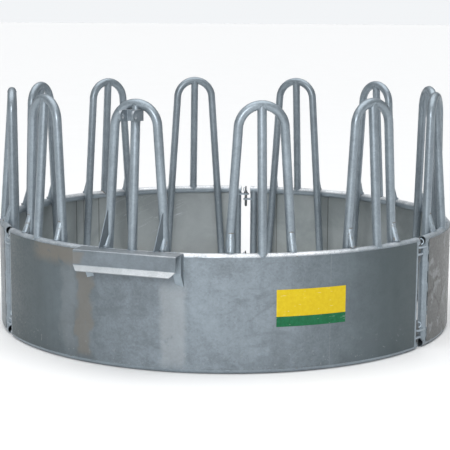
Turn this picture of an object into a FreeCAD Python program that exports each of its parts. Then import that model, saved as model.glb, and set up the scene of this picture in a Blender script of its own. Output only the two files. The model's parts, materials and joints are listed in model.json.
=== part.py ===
import FreeCAD, Part
import math
import os
import re

# Round bale feeder: three 120 degree ring segments of hot-dip galvanised tube and sheet,
# pinned together at three joints. Twelve tube loops stand on the ring, and cattle put
# their heads through the gaps beside them.
#
# Frame: origin on the ground at the ring's centre, +Z up, the front segment centred on -Y.
# Angles round the ring run from -Y towards +X. A piece is drawn at angle 0, where outwards
# is -Y and "along the ring" is +X, and then turned about Z to its place.

V = FreeCAD.Vector
Z_AXIS = V(0, 0, 1)
X_AXIS = V(1, 0, 0)

doc = FreeCAD.newDocument("round_bale_feeder")
sheet = doc.addObject("Spreadsheet::Sheet", "dims")

DIMENSIONS = (
    # ring
    ("ring_radius", 1155.0),        # centre line of the rails, posts and joint pins
    ("tube_radius", 21.2),          # 1 1/4 inch tube, 42.4 mm outside
    ("tube_wall", 2.6),
    ("cope_clearance", 0.1),        # between a centre bar's ends and the tubes they meet
    ("top_rail_height", 525.8),     # centre line above the ground
    ("segment_angle", 120.0),
    ("joint_gap", 56.0),            # between the rail ends of two segments
    ("sheet_thickness", 2.0),
    ("sheet_clearance", 0.1),       # between the rails' outside and the sheet
    ("sheet_top", 531.0),
    ("sheet_bottom", 21.2),
    ("sheet_setback", 34.0),        # how far a sheet stops short of the rails' ends
    # palisade loops
    ("loop_inner_angle", 14.7),     # from the segment's middle
    ("loop_outer_angle", 43.78),
    ("loop_plane", 1103.0),         # the loops' upright plane, from the ring's axis
    ("loop_bend_radius", 104.5),
    ("loop_bend_height", 1093.5),
    ("leg_splay", 3.8),             # each leg's lean away from its partner
    ("leg_foot", 10.0),
    # gussets
    ("gusset_radius", 15.0),
    ("gusset_wall", 3.0),
    ("gusset_height", 82.0),
    ("gusset_short_height", 50.0),
    ("gusset_reach", 31.0),
    ("gusset_stand", 1.0),          # how far its crest stands out from the leg at the top
    ("gusset_seat", 12.0),          # how far its foot runs down past the top of the rail
    # joint lugs and drop pins
    ("lug_thickness", 8.0),
    ("lug_half_width", 20.0),
    ("lug_top_high", 497.0),
    ("lug_top_low", 466.0),
    ("lug_bottom_high", 89.0),
    ("lug_bottom_low", 58.0),
    ("pin_radius", 8.0),
    ("pin_hole_radius", 8.5),
    ("pin_shaft", 81.0),
    ("pin_tip", 6.0),
    ("pin_tip_radius", 5.0),
    ("pin_collar_radius", 13.0),
    ("pin_collar_height", 6.0),
    ("pin_grip", 39.0),
    ("pin_grip_radius", 9.0),
    ("pin_grip_end_radius", 3.0),
    ("notch_flare", 33.0),          # half angle of the open notch at the back joint
    # carrying gear
    ("hook_length", 502.0),
    ("hook_thickness", 6.0),
    ("hook_bend", 3.0),             # inside radius of its bend
    ("hook_front", 1246.0),
    ("hook_flange_top", 548.0),
    ("hook_web_foot", 479.0),
    ("hook_lip", 32.0),
    ("hook_flange_inner", 1169.0),
    ("spacer_width", 38.0),
    ("spacer_plate", 4.0),
    ("spacer_front", 1185.0),
    ("spacer_web_foot", 454.0),
    ("spacer_slope", 1.72),
    ("spacer_low_face", -187.0),    # each stub's face on the +X side
    ("spacer_high_face", 250.0),
    ("brace_thickness", 6.0),
    ("brace_skew", 20.0),
    ("brace_shift", 8.0),           # from the leg's axis, along the ring
    ("brace_back", 12.0),
    ("brace_head", 25.0),
    ("brace_reach", 78.0),
    ("brace_toe", 8.0),
    ("brace_top", 717.0),
    ("clevis_gap", 52.0),
    ("clevis_plate", 10.0),
    ("clevis_hole_radius", 12.8),
    ("clevis_end_radius", 25.4),
    ("clevis_hole_height", 1148.0),
    ("clevis_hole_reach", 1184.0),
    ("clevis_web_back", 1131.0),
    ("clevis_web", 8.0),
    # label
    ("label_start", 17.7),
    ("label_angle", 16.4),
    ("label_foot", 215.0),
    ("label_height", 169.0),
    ("label_thickness", 0.6),
)

for row, (alias, value) in enumerate(DIMENSIONS, start=1):
    sheet.set("A%d" % row, alias)
    sheet.set("B%d" % row, str(value))
    sheet.setAlias("B%d" % row, alias)
doc.recompute()


def dim(alias):
    """A driving dimension, read back from the sheet."""
    return float(sheet.get(alias))


def cell(text):
    """An expression: each name in angle brackets is a cell of the sheet."""
    return re.sub(r"<(\w+)>", r"dims.\1", text)


def solid(kind, name, place=None, **sizes):
    """A Part primitive or boolean whose sizes are bound to the sheet."""
    made = doc.addObject("Part::" + kind, name)
    for prop, expression in sizes.items():
        made.setExpression(prop, cell(expression))
    if place is not None:
        made.Placement = place
    return made


def cut(name, base, tool):
    made = doc.addObject("Part::Cut", name)
    made.Base = base
    made.Tool = tool
    return made


def fuse(name, pieces):
    made = doc.addObject("Part::MultiFuse", name)
    made.Shapes = pieces
    return made


def group(name, pieces):
    """Several separate solids that share one node."""
    made = doc.addObject("Part::Compound", name)
    made.Links = pieces
    return made


def at(x, y, z, axis=Z_AXIS, angle=0.0):
    return FreeCAD.Placement(V(x, y, z), FreeCAD.Rotation(axis, angle))


def turned(angle):
    """The place on the ring at an angle, for a piece drawn at angle 0."""
    return at(0, 0, 0, Z_AXIS, angle)


PARTS = []


def sub_part(made, label, place=None):
    """Names a finished sub-part and puts it in its place."""
    made.Label = label
    if place is not None:
        made.Placement = place
    PARTS.append(made)
    return made


RING = dim("ring_radius")
TUBE = dim("tube_radius")
HALF_SPAN = dim("segment_angle") / 2 - math.degrees(math.asin(dim("joint_gap") / 2 / RING))
SHEET_END = dim("joint_gap") / 2 + dim("sheet_setback")
SHEET_HALF_SPAN = dim("segment_angle") / 2 - math.degrees(math.asin(SHEET_END / RING))
SPAN = "<segment_angle> - 2 * asin(<joint_gap> / 2 / <ring_radius>) / 1 deg"
SHEET_SPAN = "<segment_angle> - 2 * asin((<joint_gap> / 2 + <sheet_setback>) / <ring_radius>) / 1 deg"
BORE = "<tube_radius> - <tube_wall>"
OVERRUN = 20.0                      # how far a cutting tool runs past what it cuts
ANGLE_OVERRUN = 1.0                 # the same round the ring, in degrees
SEGMENTS = (("front", 0.0), ("right", 120.0), ("left", 240.0))

# Solid rings where the rails run: tools that cope the tubes that meet them.
rail_rings = []
for ring_name, ring_height in (("top_ring", dim("top_rail_height")), ("bottom_ring", TUBE)):
    rail_rings.append(
        solid("Torus", ring_name, at(0, 0, ring_height),
              Radius1="<ring_radius>", Radius2="<tube_radius>"))
both_rings = fuse("both_rings", rail_rings)


def tube(name, length, place):
    """A straight open tube along its own Z axis."""
    outside = solid("Cylinder", name + "_outside", place,
                    Radius="<tube_radius>", Height=str(length))
    start = place.multiply(at(0, 0, -OVERRUN))
    inside = solid("Cylinder", name + "_bore", start,
                   Radius=BORE, Height=str(length + 2 * OVERRUN))
    return outside, inside


def rail(segment, middle, level, height):
    """A rolled tube over one segment, with open ends."""
    name = "%s_%s_rail" % (segment, level)
    start = middle - 90 - HALF_SPAN
    outside = solid("Torus", name + "_outside", at(0, 0, height),
                    Radius1="<ring_radius>", Radius2="<tube_radius>", Angle3=SPAN)
    inside = solid("Torus", name + "_bore", at(0, 0, height, Z_AXIS, -ANGLE_OVERRUN),
                   Radius1="<ring_radius>", Radius2=BORE,
                   Angle3="%s + %s" % (SPAN, 2 * ANGLE_OVERRUN))
    sub_part(cut(name, outside, inside), name, turned(start))


def skirt(segment, middle):
    """The curved sheet outside the two rails. Its ends lap over the end posts."""
    name = segment + "_skirt_sheet"
    inner = "<ring_radius> + <tube_radius> + <sheet_clearance>"
    outside = solid("Cylinder", name + "_outside", at(0, 0, dim("sheet_bottom")),
                    Radius=inner + " + <sheet_thickness>",
                    Height="<sheet_top> - <sheet_bottom>", Angle=SHEET_SPAN)
    inside = solid("Cylinder", name + "_inside", at(0, 0, 0), Radius=inner, Height="<sheet_top> * 2")
    sub_part(cut(name, outside, inside), name, turned(middle - 90 - SHEET_HALF_SPAN))


def post_offset():
    """The angle from a joint's line to the centre of the post beside it."""
    return math.degrees(math.asin((dim("joint_gap") / 2 + TUBE) / RING))


def end_post(segment, middle, side, which):
    """An upright tube between the rails, flush with the segment's end."""
    name = "%s_end_post_%s" % (segment, which)
    angle = side * (dim("segment_angle") / 2 - post_offset())
    length = dim("top_rail_height") - TUBE
    outside, inside = tube(name, length, at(0, -RING, TUBE))
    hollow = cut(name + "_tube", outside, inside)
    sub_part(cut(name, hollow, both_rings), name, turned(middle + angle))


def leg_place(side):
    """A loop leg's axis, from its foot up: side is -1 or +1 along the ring."""
    splay = math.radians(dim("leg_splay"))
    bend = dim("loop_bend_radius")
    top_x = bend * math.cos(splay)
    top_z = dim("loop_bend_height") + bend * math.sin(splay)
    length = (top_z - dim("leg_foot")) / math.cos(splay)
    foot_x = side * (top_x + length * math.sin(splay))
    place = at(foot_x, -dim("loop_plane"), dim("leg_foot"), V(0, 1, 0), -side * dim("leg_splay"))
    return place, length


def leg_spread(height):
    """Half the distance between a loop's legs at a height."""
    splay = math.radians(dim("leg_splay"))
    bend = dim("loop_bend_radius")
    top_z = dim("loop_bend_height") + bend * math.sin(splay)
    return bend * math.cos(splay) + (top_z - height) * math.tan(splay)


def arch(name, radius):
    """The bend at the top of a loop, as a solid of a given tube radius."""
    upright = FreeCAD.Rotation(X_AXIS, 90)
    start = FreeCAD.Rotation(Z_AXIS, dim("leg_splay"))
    place = FreeCAD.Placement(V(0, -dim("loop_plane"), dim("loop_bend_height")),
                              upright.multiply(start))
    return solid("Torus", name, place, Radius1="<loop_bend_radius>", Radius2=radius,
                 Angle3="180 - 2 * <leg_splay>")


def loop(segment, middle, number, offset):
    """One palisade loop: two splayed legs and the bend between them, one bent tube."""
    name = "%s_loop_%d" % (segment, number)
    outsides = [arch(name + "_arch", "<tube_radius>")]
    insides = [arch(name + "_arch_bore", BORE)]
    for side, side_name in ((-1, "low"), (1, "high")):
        place, length = leg_place(side)
        leg_name = "%s_leg_%s" % (name, side_name)
        outsides.append(solid("Cylinder", leg_name, place, Radius="<tube_radius>", Height=str(length)))
        start = place.multiply(at(0, 0, -OVERRUN))
        insides.append(solid("Cylinder", leg_name + "_bore", start,
                             Radius=BORE, Height=str(length + OVERRUN)))
    bent = cut(name + "_tube", fuse(name + "_outside", outsides), fuse(name + "_bore", insides))
    sub_part(cut(name, bent, both_rings), name, turned(middle + offset))


def bar_place():
    """A centre bar's axis, from the top rail's centre line up to the bend's."""
    foot = V(0, -RING, dim("top_rail_height"))
    head = V(0, -dim("loop_plane"), dim("loop_bend_height") + dim("loop_bend_radius"))
    along = head - foot
    return FreeCAD.Placement(foot, FreeCAD.Rotation(Z_AXIS, along)), along.Length


arch_ring = arch("arch_ring", "<tube_radius> + <cope_clearance>")
bar_foot_ring = solid("Torus", "bar_foot_ring", at(0, 0, dim("top_rail_height")),
                      Radius1="<ring_radius>", Radius2="<tube_radius> + <cope_clearance>")
bar_ends = fuse("bar_ends", [bar_foot_ring, arch_ring])


def centre_bar(segment, middle, number, offset):
    """The leaning tube in the middle of a loop, coped to the rail and the bend."""
    name = "%s_centre_bar_%d" % (segment, number)
    place, length = bar_place()
    outside, inside = tube(name, length, place)
    hollow = cut(name + "_tube", outside, inside)
    sub_part(cut(name, hollow, bar_ends), name, turned(middle + offset))


legs_solid = []
for leg_side, leg_side_name in ((-1, "low"), (1, "high")):
    leg_axis, leg_length = leg_place(leg_side)
    legs_solid.append(solid("Cylinder", "leg_envelope_" + leg_side_name, leg_axis,
                            Radius="<tube_radius>", Height=str(leg_length)))
legs_and_ring = fuse("legs_and_ring", legs_solid + [rail_rings[0]])


def gusset_axis(side, height):
    """The line down the middle of a gusset: from the leg's face out to the rail's top."""
    rail_top = dim("top_rail_height") + TUBE
    face = dim("loop_plane") + TUBE
    radius = dim("gusset_radius")
    top_z = rail_top + height
    reach = dim("gusset_reach")
    stand = dim("gusset_stand")
    top = V(side * leg_spread(top_z), -(face + stand - radius), top_z)
    foot = V(side * leg_spread(rail_top), -(face + reach - radius), rail_top - dim("gusset_seat"))
    return top, foot


def gusset(name, side, height, offset):
    """A strip folded to a round ridge, from a leg's outer face to the top rail."""
    top, foot = gusset_axis(side, height)
    along = foot - top
    place = FreeCAD.Placement(top, FreeCAD.Rotation(Z_AXIS, along))
    outside = solid("Cylinder", name + "_outside", place,
                    Radius="<gusset_radius>", Height=str(along.Length))
    inside = solid("Cylinder", name + "_inside", place.multiply(at(0, 0, -OVERRUN)),
                   Radius="<gusset_radius> - <gusset_wall>",
                   Height=str(along.Length + 2 * OVERRUN))
    made = cut(name, cut(name + "_shell", outside, inside), legs_and_ring)
    made.Placement = turned(offset)
    return made


def gussets(segment, middle, offsets, carrying_loop):
    """All the gussets of one segment, as separate solids in one node."""
    made = []
    for number, offset in enumerate(offsets, start=1):
        short = number == carrying_loop
        height = dim("gusset_short_height" if short else "gusset_height")
        for side, side_name in ((-1, "low"), (1, "high")):
            name = "%s_gusset_%d_%s" % (segment, number, side_name)
            made.append(gusset(name, side, height, middle + offset))
    sub_part(group(segment + "_leg_gussets", made), segment + "_leg_gussets")


def lug(name, height, side, notched):
    """A flat plate from an end post to the joint's pin, drawn with the pin on -Y.

    side is +1 where the post lies towards +X from the pin. A notched lug is open towards
    its free end, so that the pin can leave it sideways."""
    post_x = dim("joint_gap") / 2 + TUBE
    low_z = height - dim("lug_thickness") / 2
    start_x = 0.0 if side > 0 else -post_x
    strip = solid("Box", name + "_strip", at(start_x, -RING - dim("lug_half_width"), low_z),
                  Length=str(post_x), Width="2 * <lug_half_width>", Height="<lug_thickness>")
    nose = solid("Cylinder", name + "_nose", at(0, -RING, low_z),
                 Radius="<lug_half_width>", Height="<lug_thickness>")
    tools = [solid("Cylinder", name + "_hole", at(0, -RING, low_z - OVERRUN),
                   Radius="<pin_hole_radius>", Height="<lug_thickness> + %s" % (2 * OVERRUN))]
    post_angle = math.degrees(math.asin(post_x / RING))
    post = solid("Cylinder", name + "_post",
                 turned(side * post_angle).multiply(at(0, -RING, 0)),
                 Radius="<tube_radius>", Height="<sheet_top>")
    tools.append(post)
    if notched:
        tools.append(notch(name, low_z, side))
    return cut(name, fuse(name + "_plate", [strip, nose]), fuse(name + "_tools", tools))


def notch(name, low_z, side):
    """The flared mouth of an open lug: a wedge from the pin's hole past the free end."""
    flare = math.radians(dim("notch_flare"))
    hole = dim("pin_hole_radius")
    reach = 2 * dim("lug_half_width")
    near_x = -side * hole * math.sin(flare)
    near_y = hole * math.cos(flare)
    far_x = near_x - side * reach
    far_y = near_y + reach * math.tan(flare)
    corners = ((near_x, near_y), (far_x, far_y), (far_x, -far_y), (near_x, -near_y))
    return prism(name + "_mouth", corners, at(0, -RING, low_z - OVERRUN),
                 "<lug_thickness> + %s" % (2 * OVERRUN))


def rounded(before, here, after, radius):
    """Where an arc of a radius starts, passes and ends at a corner."""
    way_in = (here - before).normalize()
    way_out = (after - here).normalize()
    half_turn = way_in.getAngle(way_out) / 2
    setback = radius * math.tan(half_turn)
    towards_centre = (way_out - way_in).normalize()
    middle = here + towards_centre * (radius / math.cos(half_turn) - radius)
    return here - way_in * setback, middle, here + way_out * setback


def outline(name, corners, place):
    """A closed sketch. A corner is (x, y), or (x, y, radius) where it is rounded."""
    sketch = doc.addObject("Sketcher::SketchObject", name)
    sketch.Placement = place
    points = [V(corner[0], corner[1], 0) for corner in corners]
    ends = []
    for i, corner in enumerate(corners):
        if len(corner) == 3:
            start, middle, end = rounded(points[i - 1], points[i], points[(i + 1) % len(points)],
                                         corner[2])
            sketch.addGeometry(Part.Arc(start, middle, end), False)
            ends.append((start, end))
        else:
            ends.append((points[i], points[i]))
    for (_, leaves), (arrives, _) in zip(ends, ends[1:] + ends[:1]):
        if leaves.distanceToPoint(arrives) > 1e-6:
            sketch.addGeometry(Part.LineSegment(leaves, arrives), False)
    return sketch


def prism(name, corners, place, depth):
    """A sketch raised along its own Z axis."""
    made = doc.addObject("Part::Extrusion", name)
    made.Base = outline(name + "_outline", corners, place)
    made.DirMode = "Normal"
    made.Solid = True
    made.setExpression("LengthFwd", cell(depth))
    return made


def joint_lugs(segment, middle, side, which, heights, notched):
    """The two lugs at one end of a segment. side is the segment's side of the pin."""
    made = []
    for level, height in zip(("top", "bottom"), heights):
        made.append(lug("%s_%s_lug_%s" % (segment, which, level), height, side, notched))
    name = "%s_joint_lugs_%s" % (segment, which)
    joint_angle = middle - side * dim("segment_angle") / 2
    sub_part(group(name, made), name, turned(joint_angle))


def drop_pin(joint, angle, level, height):
    """A pin that hangs by its collar on the upper lug, with a tapered grip above it."""
    name = "%s_joint_pin_%s" % (joint, level)
    seat = height + dim("lug_thickness") / 2
    shaft_foot = seat - dim("pin_shaft") + dim("pin_tip")
    pieces = [
        solid("Cone", name + "_tip", at(0, -RING, seat - dim("pin_shaft")),
              Radius1="<pin_tip_radius>", Radius2="<pin_radius>", Height="<pin_tip>"),
        solid("Cylinder", name + "_shaft", at(0, -RING, shaft_foot),
              Radius="<pin_radius>", Height="<pin_shaft> - <pin_tip>"),
        solid("Cylinder", name + "_collar", at(0, -RING, seat),
              Radius="<pin_collar_radius>", Height="<pin_collar_height>"),
        solid("Cone", name + "_grip", at(0, -RING, seat + dim("pin_collar_height")),
              Radius1="<pin_grip_radius>", Radius2="<pin_grip_end_radius>", Height="<pin_grip>"),
    ]
    sub_part(fuse(name, pieces), name, turned(angle))


# A side view has outwards along the sketch's X axis and upwards along its Y axis, and its
# depth runs towards -X. A front view has +X along the sketch's X axis and upwards along its
# Y axis, and its depth runs outwards.
SIDE_VIEW = FreeCAD.Rotation(V(0, -1, 0), V(0, 0, 1), V(-1, 0, 0))
FRONT_VIEW = FreeCAD.Rotation(X_AXIS, 90)


def side_view(x):
    return FreeCAD.Placement(V(x, 0, 0), SIDE_VIEW)


def front_view(y):
    return FreeCAD.Placement(V(0, y, 0), FRONT_VIEW)


def hook_bar(name, place):
    """The bent plate that hooks over a drawbar: flange, web and turned-out lip."""
    thick = dim("hook_thickness")
    bend = dim("hook_bend")
    front = dim("hook_front")
    top = dim("hook_flange_top")
    foot = dim("hook_web_foot")
    slope = math.sqrt(0.5)
    lip = dim("hook_lip") * slope
    under = thick * slope
    fold = under - thick * (1 - slope)
    profile = (
        (RING, top),
        (front, top, bend + thick),
        (front, foot),
        (front + lip, foot - lip),
        (front + lip - under, foot - lip - under),
        (front - thick, foot - fold),
        (front - thick, top - thick, bend),
        (RING, top - thick),
    )
    half = dim("hook_length") / 2
    bar = prism(name + "_plate", profile, side_view(half), "<hook_length>")
    rail_side = solid("Cylinder", name + "_rail_side",
                      Radius="<hook_flange_inner>", Height="<hook_flange_top> * 2")
    bar_axis, bar_length = bar_place()
    bar_space = solid("Cylinder", name + "_bar_space", bar_axis,
                      Radius="<tube_radius> + <cope_clearance>", Height=str(bar_length))
    tools = [rail_side, bar_space]
    for side, side_name in ((-1, "low"), (1, "high")):
        wedge = ((side * half, foot), (side * (half + OVERRUN), foot),
                 (side * (half + OVERRUN), foot - 2 * lip), (side * (half - 2 * lip), foot - 2 * lip))
        tools.append(prism("%s_wedge_%s" % (name, side_name), wedge, front_view(-RING), "<hook_front>"))
    sub_part(cut(name, bar, fuse(name + "_tools", tools)), name, place)


def spacer(name, high_x):
    """A stub of square section under the hook bar's flange, coped to the skirt.

    Its lower end is cut on a slope and closed by a plate. high_x is its face towards +X."""
    plate = dim("spacer_plate")
    front = dim("spacer_front")
    foot = dim("spacer_web_foot")
    top = dim("hook_flange_top") - dim("hook_thickness")
    slope = dim("spacer_slope")
    depth = front - RING + OVERRUN
    back = front - depth
    outer = ((back, foot - slope * depth), (front, foot, plate), (front, top), (back, top))
    lift = plate * math.sqrt(1 + slope ** 2)
    inner = ((back, foot - slope * depth + lift), (front - plate, foot - slope * plate + lift),
             (front - plate, top + OVERRUN), (back, top + OVERRUN))
    body = prism(name + "_outside", outer, side_view(high_x), "<spacer_width>")
    hollow = prism(name + "_inside", inner, side_view(high_x - plate),
                   "<spacer_width> - 2 * <spacer_plate>")
    skirt_face = solid("Cylinder", name + "_skirt_face", Height="<sheet_top> * 2",
                       Radius="<ring_radius> + <tube_radius> + <sheet_clearance> + <sheet_thickness>")
    return cut(name, body, fuse(name + "_tools", [hollow, skirt_face]))


def brace(name, side):
    """A triangular plate from a loop leg's outer face down to the hook bar's flange."""
    foot = dim("hook_flange_top")
    top = dim("brace_top")
    back = dim("brace_back")
    reach = dim("brace_reach")
    profile = ((back, foot), (reach, foot), (reach, foot + dim("brace_toe")),
               (dim("brace_head"), top), (back, top))
    middle = (foot + top) / 2
    stand = at(side * leg_spread(middle) + dim("brace_shift"), -dim("loop_plane"), 0,
               Z_AXIS, -dim("brace_skew"))
    plate = prism(name + "_plate", profile, stand.multiply(side_view(dim("brace_thickness") / 2)),
                  "<brace_thickness>")
    gusset_top, gusset_foot = gusset_axis(side, dim("gusset_short_height"))
    along = gusset_foot - gusset_top
    gusset_space = solid("Cylinder", name + "_gusset_space",
                         FreeCAD.Placement(gusset_top, FreeCAD.Rotation(Z_AXIS, along)),
                         Radius="<gusset_radius>", Height=str(along.Length))
    return cut(name, plate, fuse(name + "_tools", [legs_and_ring, gusset_space]))


def clevis(name, place):
    """The top-link bracket: two ears beside the centre bar and a web in front of it."""
    end = dim("clevis_end_radius")
    hole_n = dim("clevis_hole_reach")
    hole_z = dim("clevis_hole_height")
    ear = ((dim("loop_plane"), hole_z - end), (hole_n + end, hole_z - end, end),
           (hole_n + end, hole_z + end, end), (dim("loop_plane"), hole_z + end))
    half_gap = dim("clevis_gap") / 2
    plate = dim("clevis_plate")
    web_back = dim("clevis_web_back")
    pieces = [
        prism(name + "_ear_low", ear, side_view(-half_gap), "<clevis_plate>"),
        prism(name + "_ear_high", ear, side_view(half_gap + plate), "<clevis_plate>"),
        solid("Box", name + "_web", at(-half_gap, -web_back - dim("clevis_web"), hole_z - end),
              Length="<clevis_gap>", Width="<clevis_web>", Height="2 * <clevis_end_radius>"),
    ]
    bar_axis, bar_length = bar_place()
    hole_start = FreeCAD.Placement(V(-half_gap - OVERRUN, -hole_n, hole_z),
                                   FreeCAD.Rotation(V(0, 1, 0), 90))
    tools = [
        arch_ring,
        solid("Cylinder", name + "_bar_space", bar_axis, Radius="<tube_radius>", Height=str(bar_length)),
        solid("Cylinder", name + "_hole", hole_start, Radius="<clevis_hole_radius>",
              Height="<clevis_gap> + %s" % (2 * OVERRUN)),
    ]
    sub_part(cut(name, fuse(name + "_plates", pieces), fuse(name + "_tools", tools)), name, place)


def label(name):
    """A thin sticker that follows the front skirt."""
    face = "<ring_radius> + <tube_radius> + 2 * <sheet_clearance> + <sheet_thickness>"
    outside = solid("Cylinder", name + "_outside", Radius=face + " + <label_thickness>",
                    Height="<label_height>", Angle="<label_angle>")
    inside = solid("Cylinder", name + "_inside", at(0, 0, -OVERRUN), Radius=face,
                   Height="<label_height> + %s" % (2 * OVERRUN))
    sub_part(cut(name, outside, inside), name,
             at(0, 0, dim("label_foot"), Z_AXIS, dim("label_start") - 90))


OFFSETS = (-dim("loop_outer_angle"), -dim("loop_inner_angle"),
           dim("loop_inner_angle"), dim("loop_outer_angle"))
CARRYING_LOOP = 2                   # the front segment's loop that holds the carrying gear
HIGH_LUGS = (dim("lug_top_high"), dim("lug_bottom_high"))
LOW_LUGS = (dim("lug_top_low"), dim("lug_bottom_low"))

for segment, middle in SEGMENTS:
    rail(segment, middle, "top", dim("top_rail_height"))
    rail(segment, middle, "bottom", TUBE)
    skirt(segment, middle)
    for side, which in ((-1, "low"), (1, "high")):
        end_post(segment, middle, side, which)
    for number, offset in enumerate(OFFSETS, start=1):
        loop(segment, middle, number, offset)
        centre_bar(segment, middle, number, offset)
    gussets(segment, middle, OFFSETS, CARRYING_LOOP if segment == "front" else None)
    joint_lugs(segment, middle, 1, "low", HIGH_LUGS, False)
    joint_lugs(segment, middle, -1, "high", LOW_LUGS, segment == "right")

for joint, angle in (("right", 60.0), ("back", 180.0), ("left", 300.0)):
    for level, height in zip(("top", "bottom"), HIGH_LUGS):
        drop_pin(joint, angle, level, height)

gear_place = turned(-dim("loop_inner_angle"))
hook_bar("drawbar_hook_bar", gear_place)
spacers = [spacer("spacer_low", dim("spacer_low_face")),
           spacer("spacer_high", dim("spacer_high_face"))]
sub_part(group("hook_spacers", spacers), "hook_spacers", gear_place)
sub_part(group("hook_braces", [brace("brace_low", -1), brace("brace_high", 1)]),
         "hook_braces", gear_place)
clevis("top_link_clevis", gear_place)
label("front_label")

doc.recompute()

for made in doc.Objects:
    if "Invalid" in made.State or "Error" in made.State:
        raise RuntimeError("%s did not recompute: %s" % (made.Label, made.State))
for made in PARTS:
    if made.Shape.isNull() or not made.Shape.isValid():
        raise RuntimeError("%s has no valid shape" % made.Label)

os.makedirs("parts", exist_ok=True)
for made in PARTS:
    made.Shape.exportStep("parts/%s.step" % made.Label)
    print("%-26s %2d solids %12.0f mm3" % (made.Label, len(made.Shape.Solids), made.Shape.Volume))
print(len(PARTS), "sub-parts")
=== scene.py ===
import json
import math
import random

import bpy
from mathutils import Matrix, Vector


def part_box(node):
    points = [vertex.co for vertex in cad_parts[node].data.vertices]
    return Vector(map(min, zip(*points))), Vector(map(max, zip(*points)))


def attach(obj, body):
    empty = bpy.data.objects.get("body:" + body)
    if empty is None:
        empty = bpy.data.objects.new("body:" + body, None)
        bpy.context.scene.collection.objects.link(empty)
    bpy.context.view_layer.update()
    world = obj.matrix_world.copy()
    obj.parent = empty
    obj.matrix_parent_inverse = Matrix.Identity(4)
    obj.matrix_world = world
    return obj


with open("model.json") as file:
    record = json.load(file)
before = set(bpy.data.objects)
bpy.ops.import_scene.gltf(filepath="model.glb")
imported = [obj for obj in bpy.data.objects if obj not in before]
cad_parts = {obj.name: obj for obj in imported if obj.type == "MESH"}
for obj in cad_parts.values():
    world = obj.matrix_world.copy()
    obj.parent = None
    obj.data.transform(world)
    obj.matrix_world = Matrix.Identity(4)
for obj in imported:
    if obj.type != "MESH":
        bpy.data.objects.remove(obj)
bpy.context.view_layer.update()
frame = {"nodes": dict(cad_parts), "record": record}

# Round bale feeder: a ring of three hinged segments in hot-dip galvanised steel.
# Metres. Angles round the ring run from -Y towards +X, as in the CAD, and a piece that
# belongs to a loop is worked out in the loop's own frame: along the ring, outwards, up.

# ---------------------------------------------------------------- sizes read from the frame

TUBE = (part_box("front_bottom_rail")[1].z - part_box("front_bottom_rail")[0].z) / 2
RAIL_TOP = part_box("front_top_rail")[1].z
RAIL_Z = RAIL_TOP - TUBE
SKIRT_LOW, SKIRT_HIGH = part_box("front_skirt_sheet")
SKIRT_FACE = -SKIRT_LOW.y
SHEET = 0.002
RAIL_GAP = 0.0001                                 # between the sheet and the rails
RING = SKIRT_FACE - SHEET - RAIL_GAP - TUBE       # centre line of the rails
SEGMENTS = {"front": 0.0, "right": 120.0, "left": 240.0}
JOINTS = {"right": 60.0, "back": 180.0, "left": 300.0}
LOOP_OFFSETS = (-43.78, -14.7, 14.7, 43.78)       # the loops, from their segment's middle
GEAR_ANGLE = -14.7                                # the loop that carries the hook and clevis
LOOP_PLANE = 1.103                                # from the ring's axis to a loop's plane
BEND_RADIUS = 0.1045                              # of a loop's top, to the tube's centre line
BEND_Z = 1.0935                                   # the height of that bend's centre
SPLAY = math.radians(3.8)                         # each leg's lean from upright
GUSSET_RADIUS = 0.015                             # of a gusset's round ridge
GUSSET_CREST_OUT = 0.001                          # the ridge past the leg's face, at its crest
GUSSET_FOOT_OUT = 0.031                           # and at its foot
GUSSET_HEIGHT = 0.082                             # above the top rail
GUSSET_SHORT_HEIGHT = 0.050                       # on the loop that carries the gear
GUSSET_TOP = RAIL_TOP + GUSSET_HEIGHT
SHEET_END = 57.0                                  # from a segment's middle to the sheet's end
POST_ANGLE = 57.56                                # from a segment's middle to its end posts


def on_ring(radius, angle, z):
    """A point at an angle round the ring."""
    turn = math.radians(angle)
    return Vector((radius * math.sin(turn), -radius * math.cos(turn), z))


class Place:
    """The frame of something at an angle round the ring."""

    def __init__(self, angle):
        turn = math.radians(angle)
        self.along = Vector((math.cos(turn), math.sin(turn), 0))
        self.out = Vector((math.sin(turn), -math.cos(turn), 0))

    def point(self, along, out, z):
        return self.along * along + self.out * out + Vector((0, 0, z))


def leg_spread(z):
    """Half the distance between a loop's legs at a height."""
    top = BEND_Z + BEND_RADIUS * math.sin(SPLAY)
    return BEND_RADIUS * math.cos(SPLAY) + (top - z) * math.tan(SPLAY)


def steps(first, last, count):
    """Evenly spaced values from first to last."""
    return [first + (last - first) * i / (count - 1) for i in range(count)]


# ---------------------------------------------------------------- shader graphs


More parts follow.
